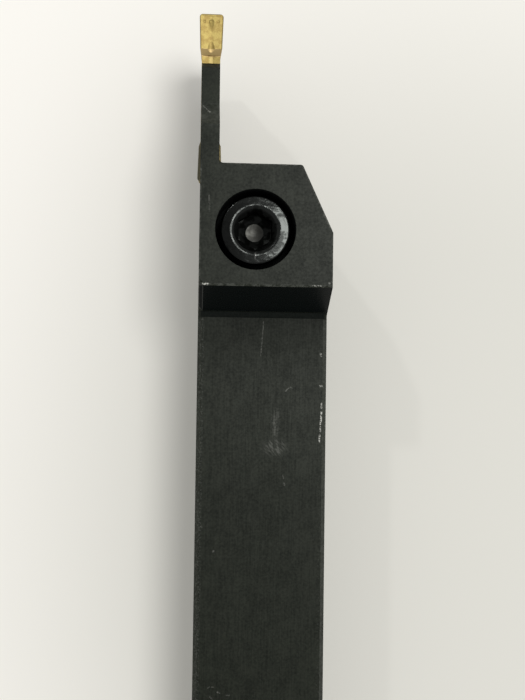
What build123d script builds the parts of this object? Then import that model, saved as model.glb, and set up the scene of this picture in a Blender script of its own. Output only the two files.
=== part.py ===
from build123d import *
import os
from math import radians, tan

# Right-hand grooving tool holder with a clamped double-ended insert, lying on its shank.
# X runs across the shank, Y along it towards the cutting edge and Z up.
# The origin is on the underside of the shank, halfway along the tool.

# Shank
TOOL_LENGTH = 100.0          # rear face to cutting edge
SHANK_WIDTH = 16.0
SHANK_HEIGHT = 16.0          # the cutting edge is level with the top of the shank
SHANK_CHAMFER = 0.55
REAR_CHAMFER = 0.8

# Clamping head
HEAD_HEIGHT = 21.0
HEAD_FRONT_Y = 30.3
HEAD_REAR_Y = 15.7           # rear edge of the head's top
SLOPE_FOOT_Y = 12.95         # foot of the sloping rear face
RELIEF_WIDTH = 0.75          # grinding relief across the shank at that foot
RELIEF_DEPTH = 0.15
BEVEL_START_Y = 22.2         # where the bevel leaves the right side
BEVEL_ANGLE = 24.9           # between the bevel and the shank
HEAD_CORNER_RADIUS = 0.4
HEAD_EDGE_BREAK = 0.15

# Blade: support below the insert, flexible jaw above it
BLADE_THICKNESS = 2.25       # its left side is flush with the shank's
BLADE_ROOT_RADIUS = 0.5
BLADE_OVERLAP = 1.0          # how far the blade runs on inside the head
SUPPORT_TIP_SETBACK = 1.0    # support stands back from the cutting edge
SUPPORT_KNEE_Z = 5.0         # below this the support's nose is cut away
SUPPORT_NOSE_LENGTH = 6.4
SUPPORT_NOSE_RADIUS = 1.2
JAW_TIP_SETBACK = 6.4        # jaw tip stands back from the cutting edge
JAW_TIP_HEIGHT = 17.2
JAW_NOSE_RISE = 0.5
JAW_NOSE_LENGTH = 4.7
JAW_RAMP_ANGLE = 45.0
JAW_RAMP_RADIUS = 2.0
JAW_LIP = 0.7

# Insert
EDGE_WIDTH = 3.0
INSERT_LENGTH = 21.0
INSERT_HEIGHT = 4.8
END_RELIEF = 7.0             # degrees
SIDE_RELIEF = 2.0            # degrees
WIDE_END_LENGTH = 4.35
WIDE_END_REAR_WIDTH = 2.73
SHOULDER_LENGTH = 0.7
NECK_WIDTH = 2.35
NECK_DROP = 0.6              # the middle lies this much below the cutting edges
CORNER_RADIUS = 0.4
EDGE_HONE = 0.06             # small bevel round the top of each end
VEE_SLOPE = 15.0             # degrees, flanks of the clamping grooves
VEE_FLOOR_WIDTH = 0.44
VEE_CLEARANCE = 0.05
CHIP_LAND = 0.25
CHIP_VEE_DEPTH = 0.08
CHIP_DIMPLE_LENGTH = 3.6     # of the cone behind the dimple's round front
CHIP_DIMPLE_SETBACK = 1.0
CHIP_DIMPLE_RADIUS = 0.5
CHIP_DIMPLE_LIFT = 0.3
SIDE_DIMPLE_RADIUS = 0.3
SIDE_DIMPLE_SPACING = 1.7
SIDE_DIMPLE_SETBACK = 0.95
SIDE_DIMPLE_LIFT = 0.2
RUNOUT_RADIUS = 0.6
RUNOUT_LIFT = 0.35
RUNOUT_ANGLE = 12.0          # rises towards the cutting edge
RUNOUT_LENGTH = 1.5          # each way from the shoulder's top

# Pocket, slit and relief hole
POCKET_SIDE_GAP = 0.1
POCKET_REAR_GAP = 0.3
POCKET_TOP_GAP = 0.35
STOP_TOP_Z = 15.0
SLIT_WIDTH = 1.2
RELIEF_HOLE_DIAMETER = 4.0
RELIEF_HOLE_Y = 16.8

# Clamp screw, M5 x 12 socket head
SCREW_X = -1.3
SCREW_Y = 22.4
SCREW_DIAMETER = 5.0
SCREW_LENGTH = 12.0
SCREW_HEAD_DIAMETER = 8.5
SCREW_HEAD_HEIGHT = 5.0
SCREW_HEAD_ROUND = 0.4
SCREW_HEAD_CROWN = 0.2       # drop of the crowned face at its rim
SCREW_TIP_CHAMFER = 0.5
SOCKET_FLATS = 4.0
SOCKET_DEPTH = 2.2
SOCKET_MOUTH_DIAMETER = 5.6
SOCKET_MOUTH_ROUND = 0.6
SOCKET_FLOOR_DIAMETER = 2.2
SOCKET_CONE_DEPTH = 0.5
SOCKET_POINT_DEPTH = 0.15
COUNTERBORE_DIAMETER = 9.7
COUNTERBORE_DEPTH = 5.4
CLEARANCE_HOLE_DIAMETER = 5.5
THREAD_CLEARANCE = 0.05      # between the plain shank and its plain hole
HOLE_COUNTERSINK = 0.5
CUT_OVERRUN = 1.0            # how far cutting shapes run past the faces they leave
SAME_PLACE = 0.01            # edges and corners this close are taken as the same one

# Worked out from the above
REAR_Y = -TOOL_LENGTH / 2
TIP_Y = TOOL_LENGTH / 2
HALF_WIDTH = SHANK_WIDTH / 2
BLADE_X = BLADE_THICKNESS / 2 - HALF_WIDTH
EDGE_Z = SHANK_HEIGHT
SEAT_Z = EDGE_Z - INSERT_HEIGHT
NECK_Z = EDGE_Z - NECK_DROP
INSERT_MID_Y = TIP_Y - INSERT_LENGTH / 2
INSERT_REAR_Y = TIP_Y - INSERT_LENGTH
END_SLANT = tan(radians(END_RELIEF))
JAW_TIP_Y = TIP_Y - JAW_TIP_SETBACK
JAW_UNDERSIDE_Z = NECK_Z + VEE_CLEARANCE
SUPPORT_TOP_Z = SEAT_Z - VEE_CLEARANCE
SUPPORT_TIP_Y = TIP_Y - SUPPORT_TIP_SETBACK
POCKET_TOP_Z = EDGE_Z + POCKET_TOP_GAP
POCKET_REAR_Y = INSERT_REAR_Y - POCKET_REAR_GAP
NECK_REAR_Y = INSERT_REAR_Y + WIDE_END_LENGTH + SHOULDER_LENGTH
SLIT_TOP_Z = SUPPORT_TOP_Z + SLIT_WIDTH
SCREW_SEAT_Z = HEAD_HEIGHT - COUNTERBORE_DEPTH
SCREW_TOP_Z = SCREW_SEAT_Z + SCREW_HEAD_HEIGHT
BEVEL_WIDTH = (HEAD_FRONT_Y - BEVEL_START_Y) * tan(radians(BEVEL_ANGLE))
BLADE_PLANE = Plane.YZ.offset(BLADE_X)
INSERT_TOP = Plane(origin=(BLADE_X, INSERT_MID_Y, EDGE_Z), x_dir=(1, 0, 0), z_dir=(0, 0, -1))


def vee_height(half_width):
    """Height of a clamping vee between its floor's edge and half_width from its middle."""
    return (half_width - VEE_FLOOR_WIDTH / 2) * tan(radians(VEE_SLOPE))


VEE_HALF_WIDTH = NECK_WIDTH / 2
VEE_DEPTH = vee_height(VEE_HALF_WIDTH)
RIDGE_HALF_WIDTH = BLADE_THICKNESS / 2
RIDGE_TOP = VEE_DEPTH - VEE_CLEARANCE
RIDGE_CREST = VEE_FLOOR_WIDTH / 2 + VEE_CLEARANCE / tan(radians(VEE_SLOPE))


def vee_plane(y, z, up):
    """Cross-section plane at y with its origin at height z and its second axis up or down."""
    return Plane(origin=(BLADE_X, y, z), x_dir=(1, 0, 0), z_dir=(0, -1 if up else 1, 0))


# ---------------------------------------------------------------- holder body
with BuildPart() as holder_body:
    # Shank and head from one side profile
    with BuildSketch(Plane.YZ):
        with BuildLine():
            Polyline(
                (REAR_Y, 0),
                (HEAD_FRONT_Y, 0),
                (HEAD_FRONT_Y, HEAD_HEIGHT),
                (HEAD_REAR_Y, HEAD_HEIGHT),
                (SLOPE_FOOT_Y, SHANK_HEIGHT),
                (REAR_Y, SHANK_HEIGHT),
                close=True,
            )
        make_face()
    extrude(amount=HALF_WIDTH, both=True)

    # Bevel that clears the workpiece at the right of the head
    with BuildSketch():
        with BuildLine():
            Polyline(
                (HALF_WIDTH, BEVEL_START_Y),
                (HALF_WIDTH - BEVEL_WIDTH, HEAD_FRONT_Y),
                (HALF_WIDTH, HEAD_FRONT_Y),
                close=True,
            )
        make_face()
    extrude(amount=HEAD_HEIGHT, mode=Mode.SUBTRACT)
    upright_edges = holder_body.edges().filter_by(Axis.Z)
    bevel_edges = upright_edges.sort_by(Axis.X)[-4:].sort_by(Axis.Y)[-1:]
    bevel_front_x = HALF_WIDTH - BEVEL_WIDTH
    bevel_edges += upright_edges.filter_by_position(
        Axis.X, bevel_front_x - SAME_PLACE, bevel_front_x + SAME_PLACE
    )
    fillet(bevel_edges, HEAD_CORNER_RADIUS)

    # Edge breaks: the shank's long edges, its rear face and the top of the head
    rear_face = holder_body.faces().sort_by(Axis.Y)[0]
    chamfer(rear_face.edges(), REAR_CHAMFER)
    lengthwise_edges = holder_body.edges().filter_by(Axis.Y)
    long_edges = lengthwise_edges.filter_by(lambda edge: edge.length > 2 * SHANK_WIDTH)
    slope = holder_body.faces().filter_by(lambda face: 0 < face.normal_at().Z < -face.normal_at().Y)
    slope_edges = slope.sort_by(SortBy.AREA)[-1].edges().sort_by(Axis.X)
    chamfer(long_edges + slope_edges[:1], SHANK_CHAMFER)
    chamfer(holder_body.faces().sort_by(Axis.Z)[-1].edges(), HEAD_EDGE_BREAK)

    # Grinding relief across the shank at the slope's foot
    with Locations((0, SLOPE_FOOT_Y, SHANK_HEIGHT)):
        Box(
            SHANK_WIDTH,
            RELIEF_WIDTH,
            2 * RELIEF_DEPTH,
            align=(Align.CENTER, Align.MAX, Align.CENTER),
            mode=Mode.SUBTRACT,
        )

    # Support blade under the insert, with its nose cut away below
    with BuildSketch(BLADE_PLANE) as support_profile:
        with BuildLine():
            Polyline(
                (HEAD_FRONT_Y - BLADE_OVERLAP, 0),
                (SUPPORT_TIP_Y - SUPPORT_NOSE_LENGTH, 0),
                (SUPPORT_TIP_Y - (SUPPORT_TOP_Z - SUPPORT_KNEE_Z) * END_SLANT, SUPPORT_KNEE_Z),
                (SUPPORT_TIP_Y, SUPPORT_TOP_Z),
                (HEAD_FRONT_Y - BLADE_OVERLAP, SUPPORT_TOP_Z),
                close=True,
            )
        make_face()
        low_corners = support_profile.vertices().sort_by(Axis.Z)[:3].sort_by(Axis.Y)[1:]
        fillet(low_corners, SUPPORT_NOSE_RADIUS)
    extrude(amount=BLADE_THICKNESS / 2, both=True)

    # Flexible jaw over the insert: thin nose, ramp up to the head's top
    ramp = radians(JAW_RAMP_ANGLE)
    nose_rear_y = JAW_TIP_Y - JAW_LIP - JAW_NOSE_LENGTH
    nose_rear_z = JAW_TIP_HEIGHT + JAW_NOSE_RISE
    ramp_length = (HEAD_HEIGHT - nose_rear_z) / tan(ramp)
    with BuildSketch(BLADE_PLANE) as jaw_profile:
        with BuildLine():
            Polyline(
                (HEAD_FRONT_Y - BLADE_OVERLAP, POCKET_TOP_Z),
                (HEAD_FRONT_Y - BLADE_OVERLAP, HEAD_HEIGHT),
                (nose_rear_y - ramp_length, HEAD_HEIGHT),
                (nose_rear_y, nose_rear_z),
                (JAW_TIP_Y - JAW_LIP, JAW_TIP_HEIGHT),
                (JAW_TIP_Y, JAW_TIP_HEIGHT - JAW_LIP),
                (JAW_TIP_Y, JAW_UNDERSIDE_Z),
                (NECK_REAR_Y, JAW_UNDERSIDE_Z),
                (NECK_REAR_Y - SHOULDER_LENGTH, POCKET_TOP_Z),
                close=True,
            )
        make_face()
        ramp_ends = [
            corner
            for corner in jaw_profile.vertices()
            for ramp_end_y in (nose_rear_y, nose_rear_y - ramp_length)
            if abs(corner.Y - ramp_end_y) < SAME_PLACE
        ]
        fillet(ramp_ends, JAW_RAMP_RADIUS)
    extrude(amount=BLADE_THICKNESS / 2, both=True)

    # Fillets where the blade leaves the head
    blade_right_x = BLADE_X + BLADE_THICKNESS / 2
    root_edges = [
        edge
        for edge in holder_body.edges().filter_by(Axis.Z)
        if abs(edge.center().X - blade_right_x) < SAME_PLACE
        and abs(edge.center().Y - HEAD_FRONT_Y) < SAME_PLACE
    ]
    fillet(root_edges, BLADE_ROOT_RADIUS)

    # Vee ridges that seat in the insert's grooves
    for ridge_plane, ridge_end in (
        (vee_plane(NECK_REAR_Y, NECK_Z, False), JAW_TIP_Y),
        (vee_plane(NECK_REAR_Y, SEAT_Z, True), SUPPORT_TIP_Y),
    ):
        root = -2 * VEE_CLEARANCE
        with BuildSketch(ridge_plane):
            with BuildLine():
                Polyline(
                    (-RIDGE_HALF_WIDTH, root),
                    (-RIDGE_HALF_WIDTH, vee_height(VEE_HALF_WIDTH) - vee_height(RIDGE_HALF_WIDTH)),
                    (-RIDGE_CREST, RIDGE_TOP),
                    (RIDGE_CREST, RIDGE_TOP),
                    (RIDGE_HALF_WIDTH, vee_height(VEE_HALF_WIDTH) - vee_height(RIDGE_HALF_WIDTH)),
                    (RIDGE_HALF_WIDTH, root),
                    close=True,
                )
            make_face()
        extrude(amount=ridge_end - NECK_REAR_Y, dir=(0, 1, 0))

    # Pocket for the insert's rear end, with a stop that matches its end relief
    with BuildSketch(BLADE_PLANE):
        with BuildLine():
            Polyline(
                (HEAD_FRONT_Y + CUT_OVERRUN, SUPPORT_TOP_Z),
                (INSERT_REAR_Y, SUPPORT_TOP_Z),
                (INSERT_REAR_Y + (EDGE_Z - SLIT_TOP_Z) * END_SLANT, SLIT_TOP_Z),
                (INSERT_REAR_Y + (EDGE_Z - STOP_TOP_Z) * END_SLANT, STOP_TOP_Z),
                (POCKET_REAR_Y, STOP_TOP_Z + POCKET_REAR_GAP),
                (POCKET_REAR_Y, POCKET_TOP_Z),
                (HEAD_FRONT_Y + CUT_OVERRUN, POCKET_TOP_Z),
                close=True,
            )
        make_face()
    extrude(amount=EDGE_WIDTH / 2 + POCKET_SIDE_GAP, both=True, mode=Mode.SUBTRACT)

    # Slit and relief hole that let the jaw bend
    with BuildSketch(Plane.YZ):
        with BuildLine():
            Polyline(
                (RELIEF_HOLE_Y, SUPPORT_TOP_Z),
                (HEAD_FRONT_Y + CUT_OVERRUN, SUPPORT_TOP_Z),
                (HEAD_FRONT_Y + CUT_OVERRUN, SLIT_TOP_Z),
                (RELIEF_HOLE_Y, SLIT_TOP_Z),
                close=True,
            )
        make_face()
        with Locations((RELIEF_HOLE_Y, (SUPPORT_TOP_Z + SLIT_TOP_Z) / 2)):
            Circle(RELIEF_HOLE_DIAMETER / 2)
    extrude(amount=HALF_WIDTH + CUT_OVERRUN, both=True, mode=Mode.SUBTRACT)

    # Counterbored hole through the jaw and tapping-size hole through the shank below
    with Locations((SCREW_X, SCREW_Y, HEAD_HEIGHT)):
        CounterBoreHole(
            radius=CLEARANCE_HOLE_DIAMETER / 2,
            counter_bore_radius=COUNTERBORE_DIAMETER / 2,
            counter_bore_depth=COUNTERBORE_DEPTH,
            depth=HEAD_HEIGHT - SLIT_TOP_Z + SLIT_WIDTH / 2,
        )
    with Locations(Location((SCREW_X, SCREW_Y, 0), (180, 0, 0))):
        CounterSinkHole(
            radius=SCREW_DIAMETER / 2 + THREAD_CLEARANCE,
            counter_sink_radius=SCREW_DIAMETER / 2 + THREAD_CLEARANCE + HOLE_COUNTERSINK,
            depth=SUPPORT_TOP_Z + SLIT_WIDTH / 2,
            counter_sink_angle=90,
        )
holder_body.part.label = "holder_body"

# --------------------------------------------------------------------- insert
with BuildPart() as insert:
    # Side profile: two raised ends with end relief, lower middle
    end_top_y = TIP_Y - WIDE_END_LENGTH
    with BuildSketch(BLADE_PLANE):
        with BuildLine():
            front_half = Polyline(
                (INSERT_MID_Y, SEAT_Z),
                (TIP_Y - INSERT_HEIGHT * END_SLANT, SEAT_Z),
                (TIP_Y, EDGE_Z),
                (end_top_y, EDGE_Z),
                (end_top_y - SHOULDER_LENGTH, NECK_Z),
                (INSERT_MID_Y, NECK_Z),
            )
            mirror(front_half, about=Plane.YZ.offset(INSERT_MID_Y))
        make_face()
    extrude(amount=EDGE_WIDTH / 2, both=True)

    # Plan outline: edge width at the ends, narrowing to the neck, with side relief downwards
    with BuildSketch(INSERT_TOP):
        with BuildLine():
            quarter = Polyline(
                (0, INSERT_LENGTH / 2 + CUT_OVERRUN),
                (EDGE_WIDTH / 2, INSERT_LENGTH / 2 + CUT_OVERRUN),
                (EDGE_WIDTH / 2, INSERT_LENGTH / 2),
                (WIDE_END_REAR_WIDTH / 2, INSERT_LENGTH / 2 - WIDE_END_LENGTH),
                (NECK_WIDTH / 2, INSERT_LENGTH / 2 - WIDE_END_LENGTH - SHOULDER_LENGTH),
                (NECK_WIDTH / 2, 0),
            )
            half = mirror(quarter, about=Plane.YZ)
            mirror(quarter, about=Plane.XZ)
            mirror(half, about=Plane.XZ)
        make_face()
    extrude(amount=INSERT_HEIGHT, taper=SIDE_RELIEF, mode=Mode.INTERSECT)

    # Corner radii of both cutting edges
    end_faces = insert.faces().sort_by(Axis.Y)
    corner_edges = [
        edge
        for face in (end_faces[0], end_faces[-1])
        for edge in face.edges().sort_by(Axis.X)[:1] + face.edges().sort_by(Axis.X)[-1:]
    ]
    fillet(corner_edges, CORNER_RADIUS)
    for end_top in insert.faces().sort_by(Axis.Z)[-2:]:
        across = end_top.edges().filter_by(Axis.X)
        inner = across.sort_by(lambda edge: abs(edge.center().Y - INSERT_MID_Y))[0]
        chamfer([edge for edge in end_top.edges() if edge != inner], EDGE_HONE)

    # Clamping grooves: full length below, only the lowered middle above
    for groove_z, upwards, groove_run in (
        (SEAT_Z, True, INSERT_LENGTH + 2 * CUT_OVERRUN),
        (NECK_Z, False, 2 * (INSERT_MID_Y - NECK_REAR_Y)),
    ):
        with BuildSketch(vee_plane(INSERT_MID_Y - groove_run / 2, groove_z, upwards)):
            with BuildLine():
                Polyline(
                    (-VEE_HALF_WIDTH, 0),
                    (-VEE_FLOOR_WIDTH / 2, VEE_DEPTH),
                    (VEE_FLOOR_WIDTH / 2, VEE_DEPTH),
                    (VEE_HALF_WIDTH, 0),
                    close=True,
                )
            make_face()
        extrude(amount=groove_run, dir=(0, 1, 0), mode=Mode.SUBTRACT)

    # Chip former on each raised end: a land, a shallow vee, three dimples, a groove run-out
    chip_rear_y = end_top_y - SHOULDER_LENGTH
    land_plane = vee_plane(chip_rear_y, EDGE_Z, False)
    with BuildPart(mode=Mode.PRIVATE) as chip_former:
        with BuildSketch(land_plane):
            with BuildLine():
                Polyline(
                    (-EDGE_WIDTH / 2, 0), (0, CHIP_VEE_DEPTH), (EDGE_WIDTH / 2, 0), close=True
                )
            make_face()
        extrude(amount=TIP_Y - CHIP_LAND - chip_rear_y, dir=(0, 1, 0))

        with BuildSketch(BLADE_PLANE):
            with BuildLine():
                dimple_y = TIP_Y - CHIP_DIMPLE_SETBACK
                dimple_axis_z = EDGE_Z + CHIP_DIMPLE_LIFT
                dimple_rear = (dimple_y - CHIP_DIMPLE_LENGTH, dimple_axis_z)
                cone_side = Line(dimple_rear, (dimple_y, dimple_axis_z - CHIP_DIMPLE_RADIUS))
                round_front = RadiusArc(
                    cone_side @ 1,
                    (dimple_y + CHIP_DIMPLE_RADIUS, dimple_axis_z),
                    -CHIP_DIMPLE_RADIUS,
                )
                Line(round_front @ 1, dimple_rear)
            make_face()
        revolve(axis=Axis((BLADE_X, 0, dimple_axis_z), (0, 1, 0)))

        with Locations((BLADE_X, TIP_Y - SIDE_DIMPLE_SETBACK, EDGE_Z + SIDE_DIMPLE_LIFT)):
            with GridLocations(SIDE_DIMPLE_SPACING, 1, 2, 1):
                Sphere(SIDE_DIMPLE_RADIUS)

        runout_origin = (BLADE_X, end_top_y, EDGE_Z + RUNOUT_LIFT)
        with Locations(Location(runout_origin, (90 + RUNOUT_ANGLE, 0, 0))):
            Cylinder(RUNOUT_RADIUS, 2 * RUNOUT_LENGTH)
    add(chip_former.part, mode=Mode.SUBTRACT)
    add(chip_former.part.mirror(Plane.XZ.offset(-INSERT_MID_Y)), mode=Mode.SUBTRACT)
insert.part.label = "insert"

# ---------------------------------------------------------------- clamp screw
with BuildPart() as clamp_screw:
    head_radius = SCREW_HEAD_DIAMETER / 2
    mouth_radius = SOCKET_MOUTH_DIAMETER / 2
    with BuildSketch(Plane.XZ.offset(-SCREW_Y)):
        with BuildLine():
            Polyline(
                (SCREW_X, SCREW_SEAT_Z - SCREW_LENGTH),
                (SCREW_X + SCREW_DIAMETER / 2 - SCREW_TIP_CHAMFER, SCREW_SEAT_Z - SCREW_LENGTH),
                (SCREW_X + SCREW_DIAMETER / 2, SCREW_SEAT_Z - SCREW_LENGTH + SCREW_TIP_CHAMFER),
                (SCREW_X + SCREW_DIAMETER / 2, SCREW_SEAT_Z),
                (SCREW_X + head_radius, SCREW_SEAT_Z),
                (SCREW_X + head_radius, SCREW_TOP_Z - SCREW_HEAD_CROWN),
                (SCREW_X + mouth_radius, SCREW_TOP_Z),
                (SCREW_X, SCREW_TOP_Z),
                close=True,
            )
        make_face()
    revolve(axis=Axis((SCREW_X, SCREW_Y, 0), (0, 0, 1)))
    rim = clamp_screw.edges().filter_by(GeomType.CIRCLE).group_by(Axis.Z)[-2]
    fillet(rim, SCREW_HEAD_ROUND)

    # Hexagon socket with a countersunk mouth and a coned floor
    with BuildSketch(Plane.XY.offset(SCREW_TOP_Z)):
        with Locations((SCREW_X, SCREW_Y)):
            RegularPolygon(SOCKET_FLATS / 2, 6, major_radius=False, rotation=30)
    extrude(amount=-SOCKET_DEPTH, mode=Mode.SUBTRACT)
    floor_z = SCREW_TOP_Z - SOCKET_DEPTH
    with Locations((SCREW_X, SCREW_Y, floor_z - SOCKET_CONE_DEPTH / 2)):
        Cone(SOCKET_FLOOR_DIAMETER / 2, SOCKET_FLATS / 2, SOCKET_CONE_DEPTH, mode=Mode.SUBTRACT)
    with Locations((SCREW_X, SCREW_Y, floor_z - SOCKET_CONE_DEPTH - SOCKET_POINT_DEPTH / 2)):
        Cone(0, SOCKET_FLOOR_DIAMETER / 2, SOCKET_POINT_DEPTH, mode=Mode.SUBTRACT)
    mouth_depth = mouth_radius - SOCKET_FLATS / 2
    with Locations((SCREW_X, SCREW_Y, SCREW_TOP_Z - mouth_depth / 2)):
        Cone(SOCKET_FLATS / 2, mouth_radius, mouth_depth, mode=Mode.SUBTRACT)
    mouth_edge = clamp_screw.edges().filter_by(GeomType.CIRCLE).group_by(Axis.Z)[-1]
    fillet(mouth_edge, SOCKET_MOUTH_ROUND)
clamp_screw.part.label = "clamp_screw"

os.makedirs("parts", exist_ok=True)
export_step(holder_body.part, "parts/holder_body.step")
export_step(insert.part, "parts/insert.step")
export_step(clamp_screw.part, "parts/clamp_screw.step")
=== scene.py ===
from math import cos, hypot, pi, radians, sin, tan

import bmesh
import bpy
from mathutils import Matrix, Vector


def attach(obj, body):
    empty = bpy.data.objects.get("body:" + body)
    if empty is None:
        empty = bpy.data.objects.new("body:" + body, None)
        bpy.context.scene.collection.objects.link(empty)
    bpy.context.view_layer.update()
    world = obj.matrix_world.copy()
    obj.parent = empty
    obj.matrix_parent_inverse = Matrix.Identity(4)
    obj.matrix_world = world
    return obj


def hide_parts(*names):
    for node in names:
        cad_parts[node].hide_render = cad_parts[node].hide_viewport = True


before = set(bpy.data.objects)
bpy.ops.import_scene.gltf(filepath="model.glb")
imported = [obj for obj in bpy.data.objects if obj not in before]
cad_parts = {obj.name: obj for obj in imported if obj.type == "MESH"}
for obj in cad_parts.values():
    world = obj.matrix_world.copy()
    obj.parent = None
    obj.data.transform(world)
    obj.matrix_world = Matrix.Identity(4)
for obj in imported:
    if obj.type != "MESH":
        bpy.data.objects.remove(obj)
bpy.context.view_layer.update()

MM = 0.001
PER_MM = 1000.0

# Camera: 140 mm above the floor, over the tool's left edge
CAMERA_PLACE = (-7.942 * MM, 3.404 * MM, 140.44 * MM)
CAMERA_TURN = (0.0379, -0.0643, 0.0134)
CAMERA_LENS_MM = 52.05
CAMERA_SENSOR_MM = 36.0
CAMERA_CLIP_START = 0.005

# Light: share of a white floor's brightness that each source gives
AMBIENT_SHARE = 0.45
KEY_SHARE = 0.48
KEY_DIRECTION = Vector((0.28, 0.18, 1.0)).normalized()
KEY_DISTANCE = 1.0
KEY_SPREAD_DEG = 24.0
SIDE_SHARE = 0.055
SIDE_DIRECTION = Vector((-0.70, 0.95, 1.0)).normalized()
SIDE_DISTANCE = 1.2
SIDE_SPREAD_DEG = 2.5
BACKDROP_LIFT = 0.33         # what the camera sees beyond the floor, above the ambient light

# Floor
FLOOR_HALF_SIZE = 1.5        # metres
FLOOR_GAP = 0.02             # mm below the part's underside
FLOOR_COLOUR = (0.82, 0.80, 0.75, 1.0)
FLOOR_SHADE_COLOUR = (0.63, 0.62, 0.568, 1.0)    # in a wide soft pool round the tool
FLOOR_SHADE_CENTRE = (30.0, -20.0, 0.0)
FLOOR_SHADE_SIZE = (68.0, 84.0)
FLOOR_SHADE_FADE = (0.45, 1.35)                  # shares of that size
FLOOR_ROUGHNESS = 0.9
FLOOR_LIFT = 0.23            # share of the floor's own colour in its shadows

# Places on the part, in millimetres
HALF_WIDTH = 8.0
SHANK_TOP_Z = 16.0
SHANK_CHAMFER_X = 7.5        # where the chamfers of the shank's top start, on both sides
HEAD_FINISH_Y = 12.0         # where the shank's finish turns into the head's
RELIEF_REAR_Y = 12.2
SLOPE_FOOT_Y = 12.95
SLOPE_INTO_BODY = (0.876, 0.482)                 # forwards and down
HEAD_SHADE_FRONT_Y = 13.0          # the head's painted shade lies on the shank behind this
HEAD_SHADE_LENGTH = 10.0
REAR_DARKENING_Y = (-10.0, -3.0)  # a little darker and rougher over the rear half
HEAD_REAR_Y = 15.7
HEAD_FRONT_Y = 30.3
HEAD_TOP_Z = 21.0
BEVEL_POINT = (8.0, 22.2)
BEVEL_NORMAL = (0.907, 0.421)
BLADE_X = -6.875
BLADE_ROOT_X = (-5.2, -4.9)  # the blade's right side, before and after its fillet
RAMP_TOP_Y = 34.9
RAMP_FOOT_Y = 38.2
JAW_TIP_Z = 17.2
TIP_Y = 50.0
CUTTING_EDGE_Z = 16.0
EDGE_HALF_WIDTH = 1.5
WIDE_END_LENGTH = 4.35
WIDE_END_REAR_HALF_WIDTH = 1.365
SHOULDER_FOOT_FROM_TIP = 5.1
JAW_SHADE_FRONT_Y = 35.0       # the insert's rear end lies behind this, in painted shade of the jaw
CHIP_HOLLOW_FROM_TIP = 1.35
CHIP_HOLLOW_SIZE = (0.50, 1.05)
SCREW_X, SCREW_Y = -1.3, 22.4
SCREW_TOP_Z = 20.6
SOCKET_FLOOR_Z = 18.0
SOCKET_FLOOR_RADIUS = 1.1
SOCKET_FADE = (2.35, 2.75)   # radii from the hexagon's corners to the mouth's rim
SOCKET_MOUTH = (2.5, 3.0)    # radii of its painted highlight ring
COUNTERBORE_RADIUS = 4.85

# The clamp screw's M5 thread
THREAD_RADIUS = 2.5
THREAD_PITCH = 0.8
THREAD_DEPTH = 0.49
THREAD_FLANK_RISE = 1.5      # steeper than a triangle from crest to crest
THREAD_CREST_FLAT = 0.2
THREAD_TOP_Z = 15.65         # just inside the head
SCREW_SEAT_Z = 15.6
SCREW_TIP_Z = 3.6
SCREW_TIP_RADIUS = 2.0
THREAD_STEPS = 72            # round the thread
THREAD_ROWS_PER_PITCH = 10
SHANK_MARGIN = 0.01          # how close a face of the CAD's plain shank lies to it

# Coating colours
OXIDE_DARK = (0.0045, 0.0065, 0.0030, 1.0)
OXIDE_LIGHT = (0.0205, 0.0240, 0.0160, 1.0)
# painted shade of the head on the shank behind it, and the darker rear half
OXIDE_SHADE_AND_DULL = (0.004, 0.005, 0.003, 1.0)
OXIDE_SHADED = (0.0042, 0.0056, 0.0054, 1.0)     # on the slope, in the relief and the bore
# worn edges, and the painted highlight on the jaw's ramp
WORN_STEEL_AND_HIGHLIGHT = (0.30, 0.31, 0.28, 1.0)
SCRATCHED_STEEL = (0.62, 0.62, 0.56, 1.0)
GOLD_DARK = (0.37, 0.250, 0.078, 1.0)
GOLD_LIGHT = (0.60, 0.480, 0.160, 1.0)
# painted shade in the chip hollow
GOLD_HOLLOW_SHADE = (0.24, 0.19, 0.05, 1.0)
# painted highlight along the middle of the neck
GOLD_NECK_HIGHLIGHT = (0.72, 0.58, 0.24, 1.0)
# darker rim of the cutting edge: partly the coating's own tone, partly painted shade of the rounded
# edge
GOLD_RIM = (0.13, 0.10, 0.035, 1.0)
# painted light that lifts the shade of the sloping shoulder
GOLD_SHOULDER_PAINTED_LIGHT = (0.78, 0.57, 0.27, 1.0)
# painted shade on the insert's sides
GOLD_SIDE_SHADE = (0.165, 0.145, 0.105, 1.0)
# painted shade on the insert's rear end under the jaw
GOLD_JAW_SHADE = (0.22, 0.215, 0.16, 1.0)

# The screw reflects these shares of the light that meets it squarely; its bright share also makes
# painted highlights, the socket's shares painted shade and the socket floor's a painted reflection
SCREW_DIM = (0.003, 0.003, 0.003, 1.0)
SCREW_BRIGHT = (0.032, 0.034, 0.032, 1.0)
# painted shade in the socket
SOCKET_SHADE_DIM = (0.0035, 0.0038, 0.0034, 1.0)
SOCKET_SHADE_BRIGHT = (0.015, 0.016, 0.015, 1.0)
# painted reflection on the socket's floor, lighter on the left
SOCKET_FLOOR_REFLECTION_LEFT = (0.060, 0.060, 0.054, 1.0)
SOCKET_FLOOR_REFLECTION_RIGHT = (0.020, 0.020, 0.018, 1.0)
SCREW_MARK_COLOUR = (0.9, 0.9, 0.85, 1.0)

NOISE_SPAN = (0.3, 0.7)      # where most values of a noise texture lie


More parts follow.
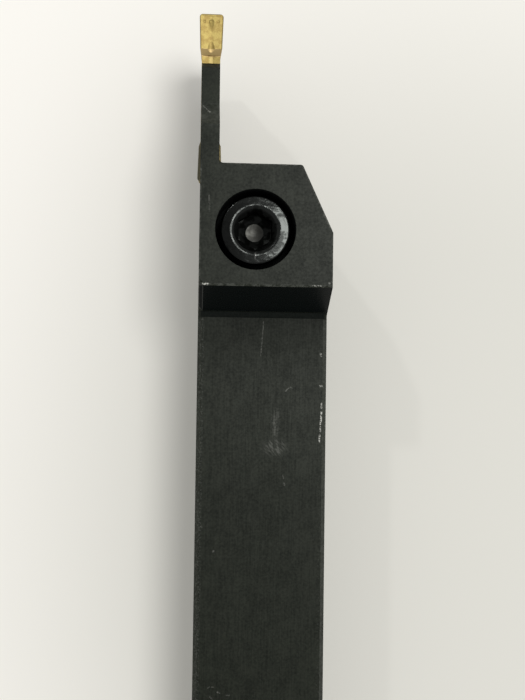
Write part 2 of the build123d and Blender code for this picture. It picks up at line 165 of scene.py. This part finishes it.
# ------------------------------------------------------------------ node graph helper
class Graph:
    """A material's node tree, built one call per node."""

    def __init__(self, name):
        self.material = bpy.data.materials.new(name)
        self.material.use_nodes = True
        self.tree = self.material.node_tree
        self.tree.nodes.clear()
        self.output = self.tree.nodes.new("ShaderNodeOutputMaterial")

    def node(self, kind, values=None, **properties):
        made = self.tree.nodes.new(kind)
        for key, value in properties.items():
            setattr(made, key, value)
        for key, value in (values or {}).items():
            self.feed(made.inputs[key], value)
        return made

    def feed(self, socket, value):
        if isinstance(value, bpy.types.NodeSocket):
            self.tree.links.new(value, socket)
        else:
            socket.default_value = value

    def place(self):
        """Position on the part in millimetres."""
        return self.scaled(self.node("ShaderNodeTexCoord").outputs["Object"], PER_MM)

    def split(self, vector):
        return self.node("ShaderNodeSeparateXYZ", {0: vector}).outputs

    def join(self, x, y, z):
        return self.node("ShaderNodeCombineXYZ", {0: x, 1: y, 2: z}).outputs[0]

    def math(self, operation, a, b=0.0, c=0.0, clamp=False):
        made = self.node("ShaderNodeMath", {0: a, 1: b, 2: c}, operation=operation)
        made.use_clamp = clamp
        return made.outputs[0]

    def add(self, *terms):
        total = terms[0]
        for term in terms[1:]:
            total = self.math("ADD", total, term)
        return total

    def less(self, a, b):
        return self.math("SUBTRACT", a, b)

    def times(self, *factors):
        total = factors[0]
        for factor in factors[1:]:
            total = self.math("MULTIPLY", total, factor)
        return total

    def most(self, *terms):
        total = terms[0]
        for term in terms[1:]:
            total = self.math("MAXIMUM", total, term)
        return total

    def vector(self, operation, a, b=(0.0, 0.0, 0.0)):
        made = self.node("ShaderNodeVectorMath", {0: a, 1: b}, operation=operation)
        return made.outputs["Value" if operation in ("DOT_PRODUCT", "LENGTH") else "Vector"]

    def scaled(self, vector, factor):
        made = self.node(
            "ShaderNodeVectorMath", {"Vector": vector, "Scale": factor}, operation="SCALE"
        )
        return made.outputs["Vector"]

    def ramp(self, value, low, high, to_low=0.0, to_high=1.0):
        """Smooth step of value from low..high to to_low..to_high."""
        made = self.node(
            "ShaderNodeMapRange",
            {
                "Value": value,
                "From Min": low,
                "From Max": high,
                "To Min": to_low,
                "To Max": to_high,
            },
            interpolation_type="SMOOTHSTEP",
        )
        return made.outputs["Result"]

    def noise(self, vector, scale, detail=2.0, roughness=0.5):
        made = self.node(
            "ShaderNodeTexNoise",
            {"Vector": vector, "Scale": scale, "Detail": detail, "Roughness": roughness},
        )
        return made.outputs["Fac"]

    def mix(self, factor, a, b):
        made = self.node("ShaderNodeMix", data_type="RGBA")
        self.feed(made.inputs["Factor"], factor)
        self.feed(made.inputs[6], a)
        self.feed(made.inputs[7], b)
        return made.outputs[2]

    def from_screw(self, x, y):
        """Distance from the clamp screw's axis."""
        return self.math(
            "SQRT",
            self.add(
                self.math("POWER", self.less(x, SCREW_X), 2.0),
                self.math("POWER", self.less(y, SCREW_Y), 2.0),
            ),
        )

    def bump(self, height, distance_mm, normal=None):
        values = {"Height": height, "Distance": distance_mm * MM, "Strength": 1.0}
        if normal is not None:
            values["Normal"] = normal
        return self.node("ShaderNodeBump", values).outputs["Normal"]

    def window(self, value, low, high, soft):
        """1 between low and high, fading out over soft."""
        return self.times(
            self.ramp(value, low - soft, low), self.ramp(value, high, high + soft, 1.0, 0.0)
        )

    def stroke(self, place, start, end, half_width, soft):
        """1 on a straight mark from start to end, fading out over soft."""
        start, end = Vector(start), Vector(end)
        along = end - start
        rel = self.vector("SUBTRACT", place, tuple(start))
        t = self.math(
            "DIVIDE", self.vector("DOT_PRODUCT", rel, tuple(along)), along.dot(along), clamp=True
        )
        offset = self.vector("SUBTRACT", rel, self.scaled(self.join(*along), t))
        away = self.vector("LENGTH", offset)
        return self.ramp(away, half_width, half_width + soft, 1.0, 0.0)

    def surface(self, **values):
        shader = self.node("ShaderNodeBsdfPrincipled")
        for key, value in values.items():
            self.feed(shader.inputs[key.replace("_", " ")], value)
        self.tree.links.new(shader.outputs[0], self.output.inputs["Surface"])
        return self.material


def dress(node, material):
    """Gives a CAD node this material in all its slots."""
    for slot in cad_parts[node].material_slots:
        slot.material = material


# ------------------------------------------------------------------ materials
MARK_FADE = 0.07             # soft rim of a mark, in millimetres

# Handling marks where the photo has them, rounded to about 0.1 mm:
# start, end, half width and strength of each
SHANK_MARKS = (
    ((0.1, 11.7), (-0.2, 7.4), 0.03, 0.11),          # thin lengthwise scratch
    ((2.9, 3.2), (3.5, 3.7), 0.05, 0.14),            # nick with a bent end
    ((3.5, 3.7), (3.8, 3.6), 0.05, 0.10),
    ((2.7, -7.1), (2.8, -7.5), 0.05, 0.07),          # specks behind the rubbed patch
    ((2.8, -8.0), (2.9, -8.3), 0.07, 0.11),
    ((-5.7, -16.4), (-5.7, -16.5), 0.10, 0.16),      # speck on the left
    ((-6.1, -32.9), (-5.9, -32.8), 0.05, 0.08),      # specks near the rear end
    ((-5.6, -32.8), (-5.4, -32.8), 0.05, 0.11),
    ((-4.9, -33.4), (-4.7, -33.5), 0.08, 0.13),
    ((-5.8, -34.0), (-5.5, -34.2), 0.05, 0.12),
    ((-3.9, -33.8), (-3.5, -33.8), 0.05, 0.09),
    ((-7.7, -15.9), (-7.7, -16.1), 0.06, 0.20),      # nicks by the left edge
    ((-7.2, -13.4), (-7.1, -13.5), 0.06, 0.12),
    ((7.2, 7.9), (7.3, 7.6), 0.10, 0.40),            # bruises along the right edge
    ((7.2, 3.9), (7.7, 3.9), 0.08, 0.45),
    ((7.4, 1.8), (7.4, 1.1), 0.06, 0.70),
    ((7.4, 0.7), (7.3, -0.8), 0.08, 0.85),
    ((7.3, -1.1), (7.3, -1.7), 0.05, 0.60),
    ((7.2, -2.1), (7.2, -3.0), 0.07, 0.75),
)
HEAD_MARKS = (
    ((-6.9, 26.3), (-6.8, 24.4), 0.06, 0.08),        # scratch left of the screw
    ((-7.8, HEAD_REAR_Y + 0.05), (-6.9, HEAD_REAR_Y + 0.05), 0.10, 0.85),    # rear edge
    ((5.6, HEAD_REAR_Y + 0.1), (6.6, HEAD_REAR_Y + 0.1), 0.05, 0.50),
    ((7.6, 16.1), (7.6, 16.2), 0.08, 0.25),
    ((6.0, 26.4), (6.4, 25.6), 0.12, 0.09),          # along the bevel
    ((6.9, 24.3), (7.3, 23.3), 0.12, 0.06),
)
JAW_MARKS = (                                        # one bent scratch on the ramp
    ((-7.8, 37.9, 18.0), (-7.1, 37.0, 18.9), 0.03, 0.20),
    ((-7.1, 37.0, 18.9), (-6.9, 36.8, 19.1), 0.07, 0.45),
)
SCREW_MARKS = (                                      # bright T-shaped mark behind the socket
    ((-1.8, 19.9), (-0.9, 19.9), 0.06, 0.12),
    ((-1.3, 19.8), (-1.3, 18.7), 0.07, 0.12),
)
RUBBED_PATCH = ((1.7, -3.7), (2.1, 1.4))             # centre and half size
SMEAR_PATCH = ((1.75, -0.8), (0.7, 2.4))


def marks(g, place, strokes, z=None):
    """The strongest of several marks; those given without a height lie at z."""
    found = []
    for start, end, half_width, strength in strokes:
        if z is not None:
            start, end = (*start, z), (*end, z)
        found.append(g.times(g.stroke(place, start, end, half_width, MARK_FADE), strength))
    return g.most(*found)


def patch(g, place, centre, half_size):
    """1 in the middle of an oval patch of the shank's top, fading out to its rim."""
    offset = g.vector("SUBTRACT", place, (*centre, SHANK_TOP_Z))
    size = (1.0 / half_size[0], 1.0 / half_size[1], 1.0)
    return g.ramp(g.vector("LENGTH", g.vector("MULTIPLY", offset, size)), 0.2, 1.0, 1.0, 0.0)


def oxide_tone(g, place, grit, streak):
    """Lightness of the coating, about -1 to 1: blotches, grit and lengthwise streaks."""
    x, y, _ = g.split(place)
    blotch = g.noise(place, scale=0.55, detail=3.0, roughness=0.6)
    streaked = g.ramp(y, HEAD_FINISH_Y, HEAD_FINISH_Y + 4.0, 1.0, 0.3)
    on_head = g.ramp(y, HEAD_FINISH_Y, HEAD_FINISH_Y + 2.0)
    on_shank = g.ramp(y, HEAD_FINISH_Y, HEAD_FINISH_Y + 2.0, 1.0, 0.0)
    lighter_right = g.times(g.ramp(x, 1.0, HALF_WIDTH - 1.0, 0.0, 0.22), on_shank)
    darker_left = g.times(g.ramp(x, -HALF_WIDTH + 0.4, -HALF_WIDTH + 2.0, -0.30, 0.0), on_head)
    return g.add(
        g.ramp(blotch, *NOISE_SPAN, -0.35, 0.35),
        g.ramp(grit, *NOISE_SPAN, -0.8, 0.8),
        g.times(g.ramp(streak, *NOISE_SPAN, -0.45, 0.45), streaked),
        lighter_right,
        darker_left,
    )


def slope_area(g, y, z):
    """The sloping rear face of the head, with a thin layer below it."""
    depth = g.add(
        g.times(g.less(y, SLOPE_FOOT_Y), SLOPE_INTO_BODY[0]),
        g.times(g.less(SHANK_TOP_Z, z), SLOPE_INTO_BODY[1]),
    )
    return g.times(
        g.window(y, SLOPE_FOOT_Y + 0.05, HEAD_REAR_Y - 0.1, 0.06),
        g.window(z, SHANK_TOP_Z + 0.1, HEAD_TOP_Z - 0.2, 0.05),
        g.ramp(depth, 0.35, 0.5, 1.0, 0.0),
    )


def relief_area(g, y, z):
    """The shallow ground relief at the slope's foot."""
    return g.times(
        g.window(y, RELIEF_REAR_Y + 0.02, SLOPE_FOOT_Y, 0.03),
        g.window(z, SHANK_TOP_Z - 0.2, SHANK_TOP_Z - 0.1, 0.05),
    )


def bore_area(g, x, y, z):
    """The counterbore's wall and floor."""
    return g.times(
        g.ramp(
            g.from_screw(x, y), COUNTERBORE_RADIUS + 0.02, COUNTERBORE_RADIUS + 0.08, 1.0, 0.0
        ),
        g.window(z, SCREW_SEAT_Z - 0.2, HEAD_TOP_Z - 0.3, 0.2),
    )


def head_shade_and_rear_dark_area(g, y, z):
    """Painted shade of the head on the shank just behind it, and the rear half a little darker."""
    head_shade = g.times(
        g.ramp(y, HEAD_SHADE_FRONT_Y - HEAD_SHADE_LENGTH, HEAD_SHADE_FRONT_Y),
        g.ramp(y, HEAD_SHADE_FRONT_Y - 0.1, HEAD_SHADE_FRONT_Y + 0.1, 1.0, 0.0),
        g.ramp(z, SHANK_TOP_Z - 1.5, SHANK_TOP_Z - 0.2),
    )
    return g.add(head_shade, g.ramp(y, *REAR_DARKENING_Y, 0.40, 0.0))


def head_edge_area(g, x, y, z):
    """A narrow strip inside the outline of the head's top."""
    right_of_blade = g.ramp(x, *BLADE_ROOT_X, -9.0, 0.0)
    past_outline = g.most(
        g.less(g.math("ABSOLUTE", x), HALF_WIDTH),
        g.add(g.less(y, HEAD_FRONT_Y), right_of_blade),
        g.less(HEAD_REAR_Y, y),
        g.add(
            g.times(g.less(x, BEVEL_POINT[0]), BEVEL_NORMAL[0]),
            g.times(g.less(y, BEVEL_POINT[1]), BEVEL_NORMAL[1]),
        ),
    )
    return g.times(
        g.ramp(past_outline, -0.22, -0.12),
        g.ramp(z, HEAD_TOP_Z - 0.3, HEAD_TOP_Z - 0.15),
        g.ramp(y, HEAD_FRONT_Y - 0.1, HEAD_FRONT_Y + 0.2, 1.0, 0.0),
    )


def oxide_wear_and_ramp_highlight(g, place, fleck):
    """Share of bare steel on the chamfers and the head's outline, and the same steel colour as a
    painted highlight on the jaw's ramp; the nose is a little lighter too.
    """
    x, y, z = g.split(place)
    on_shank = g.ramp(y, RELIEF_REAR_Y - 0.2, RELIEF_REAR_Y, 1.0, 0.0)
    near_top = g.ramp(z, SHANK_TOP_Z - 0.7, SHANK_TOP_Z - 0.5)
    right_chamfer = g.times(
        g.window(x, SHANK_CHAMFER_X, HALF_WIDTH - 0.07, 0.03), near_top, on_shank
    )
    left_chamfer = g.times(
        g.window(x, -HALF_WIDTH - 0.05, -SHANK_CHAMFER_X, 0.03), near_top, on_shank
    )
    # painted highlight on the jaw's ramp, where it faces the light
    ramp_highlight = g.times(
        g.ramp(y, RAMP_TOP_Y - 1.0, RAMP_TOP_Y + 1.2),
        g.ramp(y, RAMP_FOOT_Y - 0.15, RAMP_FOOT_Y + 0.2, 1.0, 0.0),
        g.ramp(z, JAW_TIP_Z - 0.3, JAW_TIP_Z + 0.1),
    )
    on_nose = g.times(
        g.ramp(y, RAMP_FOOT_Y - 0.4, RAMP_FOOT_Y + 0.2), g.ramp(z, JAW_TIP_Z - 0.6, JAW_TIP_Z - 0.3)
    )
    edge_noise = g.noise(place, scale=2.2, detail=3.0, roughness=0.7)
    ramp_noise = g.noise(place, scale=1.6, detail=3.0, roughness=0.6)
    edges = g.add(
        g.times(right_chamfer, g.ramp(edge_noise, *NOISE_SPAN, 0.05, 0.13)),
        g.times(left_chamfer, g.ramp(edge_noise, *NOISE_SPAN, 0.02, 0.06)),
        g.times(head_edge_area(g, x, y, z), g.ramp(edge_noise, 0.42, 0.62, 0.03, 0.20)),
        g.times(ramp_highlight, g.ramp(ramp_noise, 0.35, 0.65, 0.04, 0.095)),
        g.times(on_nose, 0.018),
    )
    at_top = g.ramp(z, SHANK_TOP_Z - 0.6, SHANK_TOP_Z - 0.4)
    left_flecks = g.times(
        g.window(x, -HALF_WIDTH - 0.1, -HALF_WIDTH + 0.65, 0.25),
        at_top,
        on_shank,
        g.ramp(fleck, 0.52, 0.59),
    )
    right_flecks = g.times(
        g.window(x, HALF_WIDTH - 0.85, HALF_WIDTH, 0.25),
        at_top,
        on_shank,
        g.ramp(fleck, 0.57, 0.63),
    )
    return g.add(edges, g.times(left_flecks, 0.12), g.times(right_flecks, 0.06))


def oxide_rubs(g, place, grit, streak):
    """Fine diagonal rubbing in one patch, and a smear in front of it."""
    turned = g.node(
        "ShaderNodeVectorRotate", {"Vector": place, "Angle": 0.85}, rotation_type="Z_AXIS"
    ).outputs["Vector"]
    diagonal = g.noise(g.vector("MULTIPLY", turned, (0.25, 1.0, 1.0)), scale=4.0)
    return g.add(
        g.times(patch(g, place, *RUBBED_PATCH), g.ramp(diagonal, 0.45, 0.68, 0.012, 0.13)),
        g.times(
            patch(g, place, *SMEAR_PATCH),
            g.ramp(streak, 0.38, 0.60, 0.01, 0.06),
            g.ramp(grit, 0.42, 0.60, 0.4, 2.0),
        ),
    )


def oxide_scratches(g, place, fleck):
    """The handling marks, slightly wavy and broken up."""
    wander = g.node("ShaderNodeTexNoise", {"Vector": place, "Scale": 2.0}).outputs["Color"]
    wobble = g.scaled(g.vector("SUBTRACT", wander, (0.5, 0.5, 0.5)), 0.16)
    shaken = g.vector("ADD", place, wobble)
    return g.times(
        g.most(
            marks(g, shaken, SHANK_MARKS, SHANK_TOP_Z),
            marks(g, shaken, HEAD_MARKS, HEAD_TOP_Z),
            marks(g, shaken, JAW_MARKS),
        ),
        g.ramp(fleck, 0.45, 0.55, 0.06, 1.0),
    )


def black_oxide():
    """Satin black coating on ground steel, with its wear and handling marks."""
    g = Graph("black_oxide")
    place = g.place()
    x, y, z = g.split(place)
    grit = g.noise(place, scale=3.2, detail=4.0, roughness=0.75)
    fleck = g.noise(place, scale=4.5, detail=3.0, roughness=0.7)
    lengthwise = g.vector("MULTIPLY", place, (1.0, 0.04, 1.0))
    streak = g.noise(lengthwise, scale=5.5, detail=3.0, roughness=0.6)
    tone = oxide_tone(g, place, grit, streak)
    in_slope = slope_area(g, y, z)
    in_relief = relief_area(g, y, z)
    in_bore = bore_area(g, x, y, z)
    shade_and_dull = head_shade_and_rear_dark_area(g, y, z)
    scratched = g.most(oxide_scratches(g, place, fleck), oxide_rubs(g, place, grit, streak))

    base = g.mix(g.math("ADD", g.times(tone, 0.5), 0.5, clamp=True), OXIDE_DARK, OXIDE_LIGHT)
    # painted shade behind the head; the rear half a little darker
    base = g.mix(g.times(shade_and_dull, 0.5), base, OXIDE_SHADE_AND_DULL)
    base = g.mix(oxide_wear_and_ramp_highlight(g, place, fleck), base, WORN_STEEL_AND_HIGHLIGHT)
    base = g.mix(g.most(in_slope, g.times(in_relief, 0.7), in_bore), base, OXIDE_SHADED)
    base = g.mix(scratched, base, SCRATCHED_STEEL)
    left_chamfer = g.ramp(x, -SHANK_CHAMFER_X - 0.1, -SHANK_CHAMFER_X + 0.05, 0.6, 0.0)
    roughness = g.add(
        0.45,
        g.times(tone, -0.045),
        g.times(shade_and_dull, 0.13),
        g.times(in_slope, -0.17),
        g.times(in_slope, left_chamfer),
        g.times(g.most(in_relief, in_bore), 0.35),
    )
    normal = g.bump(grit, 0.0025)
    normal = g.bump(g.less(0.0, scratched), 0.02, normal)
    return g.surface(
        Base_Color=base, Roughness=roughness, Normal=normal, Specular_IOR_Level=0.14
    )


def gold_nitride():
    """Satin gold coating, with painted shade on its sides, in its chip hollow, under the jaw and
    partly on its cutting edge's rim, and painted light on its shoulder and along its neck.
    """
    g = Graph("gold_nitride")
    place = g.place()
    x, y, z = g.split(place)
    grain = g.noise(place, scale=7.0, detail=4.0, roughness=0.7)
    blotch = g.noise(place, scale=1.6, detail=3.0, roughness=0.6)

    # Areas
    facing = g.split(g.node("ShaderNodeNewGeometry").outputs["Normal"])[2]
    # the sides get painted shade
    on_side = g.ramp(g.math("ABSOLUTE", facing), 0.25, 0.5, 1.0, 0.0)
    from_middle = g.math("ABSOLUTE", g.less(x, BLADE_X))
    from_tip = g.less(TIP_Y, y)
    half_width = g.ramp(from_tip, 0.0, WIDE_END_LENGTH, EDGE_HALF_WIDTH, WIDE_END_REAR_HALF_WIDTH)
    # rim: partly the coating's own tone, partly painted shade of the rounded edge
    rim = g.times(
        g.most(
            g.ramp(g.less(half_width, from_middle), 0.06, 0.20, 1.0, 0.0),
            g.ramp(from_tip, 0.06, 0.20, 1.0, 0.0),
        ),
        g.ramp(z, CUTTING_EDGE_Z - 0.4, CUTTING_EDGE_Z - 0.2),
    )
    # painted light on the shoulder, against its shade
    shoulder_painted_light = g.window(from_tip, WIDE_END_LENGTH + 0.05, SHOULDER_FOOT_FROM_TIP + 0.02, 0.06)
    # painted highlight along the middle of the neck, where its flat valley faces up
    neck_highlight = g.times(
        g.ramp(from_middle, 0.12, 0.32, 1.0, 0.0),
        g.ramp(from_tip, SHOULDER_FOOT_FROM_TIP - 0.1, SHOULDER_FOOT_FROM_TIP),
    )
    # painted shade under the jaw, stronger on the left
    jaw_shade = g.times(
        g.ramp(y, JAW_SHADE_FRONT_Y - 1.0, JAW_SHADE_FRONT_Y, 1.0, 0.0),
        g.ramp(z, CUTTING_EDGE_Z - 0.8, CUTTING_EDGE_Z - 0.3),
        g.ramp(x, BLADE_X, BLADE_X + 1.0, 1.0, 0.3),
    )
    # painted shade in the chip hollow
    hollow_shade = g.vector(
        "LENGTH",
        g.join(
            g.times(g.less(x, BLADE_X), 1.0 / CHIP_HOLLOW_SIZE[0]),
            g.times(g.less(from_tip, CHIP_HOLLOW_FROM_TIP), 1.0 / CHIP_HOLLOW_SIZE[1]),
            0.0,
        ),
    )
    hollow_shade = g.times(
        g.ramp(hollow_shade, 0.35, 1.1, 1.0, 0.0), g.ramp(z, CUTTING_EDGE_Z - 1.0, CUTTING_EDGE_Z - 0.8)
    )

    colour = g.mix(
        g.add(g.ramp(grain, *NOISE_SPAN, 0.0, 0.4), g.ramp(blotch, 0.35, 0.65, 0.0, 0.6)),
        GOLD_DARK,
        GOLD_LIGHT,
    )
    colour = g.mix(g.times(hollow_shade, 0.35), colour, GOLD_HOLLOW_SHADE)
    colour = g.mix(g.times(neck_highlight, 0.5), colour, GOLD_NECK_HIGHLIGHT)
    colour = g.mix(g.times(rim, 0.75), colour, GOLD_RIM)
    colour = g.mix(g.times(shoulder_painted_light, 0.75), colour, GOLD_SHOULDER_PAINTED_LIGHT)
    colour = g.mix(g.times(on_side, 0.30), colour, GOLD_SIDE_SHADE)
    colour = g.mix(g.times(jaw_shade, 0.8), colour, GOLD_JAW_SHADE)
    normal = g.bump(grain, 0.004)
    return g.surface(Base_Color=colour, Metallic=0.75, Roughness=0.58, Normal=normal)


def screw_black_painted_light():
    """Black coating under a patchy film of oil, with painted highlights on the right of the crowned
    face and round the left of the socket's mouth, painted shade in the socket and a painted
    reflection on its floor, lighter on the left.
    """
    g = Graph("screw_black_painted_light")
    place = g.place()
    x, y, z = g.split(place)
    film = g.noise(place, scale=1.0)
    from_axis = g.from_screw(x, y)
    side = g.less(x, SCREW_X)
    in_socket = g.times(
        g.ramp(from_axis, *SOCKET_FADE, 1.0, 0.0),
        g.window(z, SOCKET_FLOOR_Z - 1.0, SCREW_TOP_Z - 0.25, 0.2),
    )
    on_floor = g.times(
        g.ramp(from_axis, SOCKET_FLOOR_RADIUS - 0.08, SOCKET_FLOOR_RADIUS, 1.0, 0.0),
        g.window(z, SOCKET_FLOOR_Z - 1.0, SOCKET_FLOOR_Z, 0.1),
    )
    mouth_highlight = g.times(
        g.window(from_axis, *SOCKET_MOUTH, 0.12), g.ramp(side, -2.2, -0.8, 1.0, 0.0)
    )
    # patchy film, with a painted highlight growing to the right and round the mouth's left
    film_and_highlight = g.times(
        g.ramp(film, 0.42, 0.52, 0.50, 0.95), g.ramp(side, -3.6, 0.6, 0.55, 1.05)
    )
    film_and_highlight = g.add(film_and_highlight, g.times(mouth_highlight, 0.55))

    shine = g.mix(film_and_highlight, SCREW_DIM, SCREW_BRIGHT)
    # painted shade in the socket
    socket_shine = g.mix(g.ramp(film, 0.44, 0.58), SOCKET_SHADE_DIM, SOCKET_SHADE_BRIGHT)
    shine = g.mix(in_socket, shine, socket_shine)
    # painted reflection on the socket's floor, lighter on the left
    floor_reflection = g.mix(g.ramp(side, -1.0, 1.0), SOCKET_FLOOR_REFLECTION_LEFT, SOCKET_FLOOR_REFLECTION_RIGHT)
    shine = g.mix(on_floor, shine, floor_reflection)
    shine = g.mix(marks(g, place, SCREW_MARKS, SCREW_TOP_Z), shine, SCREW_MARK_COLOUR)
    roughness = g.add(g.ramp(film, 0.40, 0.58, 0.30, 0.17), g.times(in_socket, 0.25))
    normal = g.bump(film, 0.05)
    return g.surface(Base_Color=shine, Metallic=1.0, Roughness=roughness, Normal=normal)


def dress_nodes(screw_finish):
    dress("holder_body", black_oxide())
    dress("insert", gold_nitride())
    dress("clamp_screw", screw_finish)


# ------------------------------------------------------------------ clamp screw
def thread_radius(angle, z):
    """Radius of the threaded shank, which a cone bounds at its tip."""
    phase = (z / THREAD_PITCH - angle / (2 * pi)) % 1.0
    rise = (1.0 - abs(2.0 * phase - 1.0)) * THREAD_FLANK_RISE - THREAD_CREST_FLAT
    groove = min(max(rise, 0.0), 1.0)
    return min(THREAD_RADIUS - THREAD_DEPTH * groove, SCREW_TIP_RADIUS + z - SCREW_TIP_Z)


def plain_radius(angle, z):
    """Radius of the flat that closes the head's underside."""
    return THREAD_RADIUS


def screw_ring(shape, z, radius_at):
    """One ring of vertices round the screw's axis at this height."""
    ring = []
    for step in range(THREAD_STEPS):
        angle = 2 * pi * step / THREAD_STEPS
        radius = radius_at(angle, z)
        place = Vector((SCREW_X + radius * cos(angle), SCREW_Y + radius * sin(angle), z))
        ring.append(shape.verts.new(place * MM))
    return ring


def on_plain_shank(face):
    """Whether a face of the CAD screw belongs to its plain shank."""
    centre = face.calc_center_median() / MM
    from_axis = hypot(centre.x - SCREW_X, centre.y - SCREW_Y)
    return from_axis < THREAD_RADIUS + SHANK_MARGIN and centre.z < SCREW_SEAT_Z - SHANK_MARGIN


def add_thread(shape):
    """The threaded shank, closed at both ends."""
    rows = round((THREAD_TOP_Z - SCREW_TIP_Z) / THREAD_PITCH * THREAD_ROWS_PER_PITCH)
    lift = (THREAD_TOP_Z - SCREW_TIP_Z) / rows
    rings = []
    for row in range(rows + 1):
        rings.append(screw_ring(shape, SCREW_TIP_Z + row * lift, thread_radius))
    for low, high in zip(rings, rings[1:]):
        for step in range(THREAD_STEPS):
            after = (step + 1) % THREAD_STEPS
            flank = shape.faces.new((low[step], low[after], high[after], high[step]))
            flank.smooth = True
    shape.faces.new(list(reversed(rings[0])))
    shape.faces.new(rings[-1])


def make_threaded_screw(finish):
    """The clamp screw's head from the frame, with a cut thread for its plain shank."""
    shape = bmesh.new()
    shape.from_mesh(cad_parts["clamp_screw"].data)
    shank = [face for face in shape.faces if on_plain_shank(face)]
    bmesh.ops.delete(shape, geom=shank, context="FACES")
    add_thread(shape)
    underside = screw_ring(shape, SCREW_SEAT_Z, plain_radius)
    shape.faces.new(list(reversed(underside)))

    mesh = bpy.data.meshes.new("clamp_screw_threaded")
    shape.to_mesh(mesh)
    shape.free()
    mesh.materials.append(finish)
    mesh.update()
    piece = bpy.data.objects.new("clamp_screw_threaded", mesh)
    bpy.context.collection.objects.link(piece)
    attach(piece, "screw")
    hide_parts("clamp_screw")


# ------------------------------------------------------------------ floor, light, camera
def floor_material():
    """Pale and matt. Only the camera sees its lift, so it lights nothing."""
    g = Graph("pale_floor")
    offset = g.vector("SUBTRACT", g.place(), FLOOR_SHADE_CENTRE)
    per_size = (1.0 / FLOOR_SHADE_SIZE[0], 1.0 / FLOOR_SHADE_SIZE[1], 0.0)
    away = g.vector("LENGTH", g.vector("MULTIPLY", offset, per_size))
    colour = g.mix(g.ramp(away, *FLOOR_SHADE_FADE), FLOOR_SHADE_COLOUR, FLOOR_COLOUR)
    lift = g.times(g.node("ShaderNodeLightPath").outputs["Is Camera Ray"], FLOOR_LIFT)
    return g.surface(
        Base_Color=colour,
        Roughness=FLOOR_ROUGHNESS,
        Emission_Color=colour,
        Emission_Strength=lift,
    )


def make_floor():
    mesh = bpy.data.meshes.new("floor")
    half = FLOOR_HALF_SIZE
    low = -FLOOR_GAP * MM
    corners = [(-half, -half, low), (half, -half, low), (half, half, low), (-half, half, low)]
    mesh.from_pydata(corners, [], [(0, 1, 2, 3)])
    mesh.materials.append(floor_material())
    floor = bpy.data.objects.new("floor", mesh)
    bpy.context.collection.objects.link(floor)


def make_lamp(name, share, direction, distance, spread_deg):
    """A round lamp that adds this share of a white floor's brightness."""
    data = bpy.data.lights.new(name, "AREA")
    data.shape = "DISK"
    data.size = 2 * distance * tan(radians(spread_deg / 2))
    data.energy = pi * pi * share * distance**2 / direction.z
    lamp = bpy.data.objects.new(name, data)
    lamp.location = direction * distance
    lamp.rotation_euler = direction.to_track_quat("Z", "Y").to_euler()
    bpy.context.collection.objects.link(lamp)


def make_lights():
    """Two lamps in an even surround, which the camera sees a little brighter."""
    make_lamp("key_lamp", KEY_SHARE, KEY_DIRECTION, KEY_DISTANCE, KEY_SPREAD_DEG)
    make_lamp("side_lamp", SIDE_SHARE, SIDE_DIRECTION, SIDE_DISTANCE, SIDE_SPREAD_DEG)
    world = bpy.data.worlds.new("studio")
    world.use_nodes = True
    tree = world.node_tree
    background = tree.nodes["Background"]
    background.inputs["Color"].default_value = (1.0, 1.0, 1.0, 1.0)
    camera_ray = tree.nodes.new("ShaderNodeLightPath").outputs["Is Camera Ray"]
    strength = tree.nodes.new("ShaderNodeMath")
    strength.operation = "MULTIPLY_ADD"
    tree.links.new(camera_ray, strength.inputs[0])
    strength.inputs[1].default_value = BACKDROP_LIFT
    strength.inputs[2].default_value = AMBIENT_SHARE
    tree.links.new(strength.outputs[0], background.inputs["Strength"])
    bpy.context.scene.world = world


def make_camera():
    data = bpy.data.cameras.new("camera")
    data.lens = CAMERA_LENS_MM
    data.sensor_width = CAMERA_SENSOR_MM
    data.sensor_fit = "AUTO"
    data.clip_start = CAMERA_CLIP_START
    camera = bpy.data.objects.new("camera", data)
    camera.location = CAMERA_PLACE
    camera.rotation_euler = CAMERA_TURN
    bpy.context.collection.objects.link(camera)
    bpy.context.scene.camera = camera


bpy.context.scene.view_settings.view_transform = "Standard"
make_camera()
make_lights()
make_floor()
screw_finish = screw_black_painted_light()
dress_nodes(screw_finish)
make_threaded_screw(screw_finish)
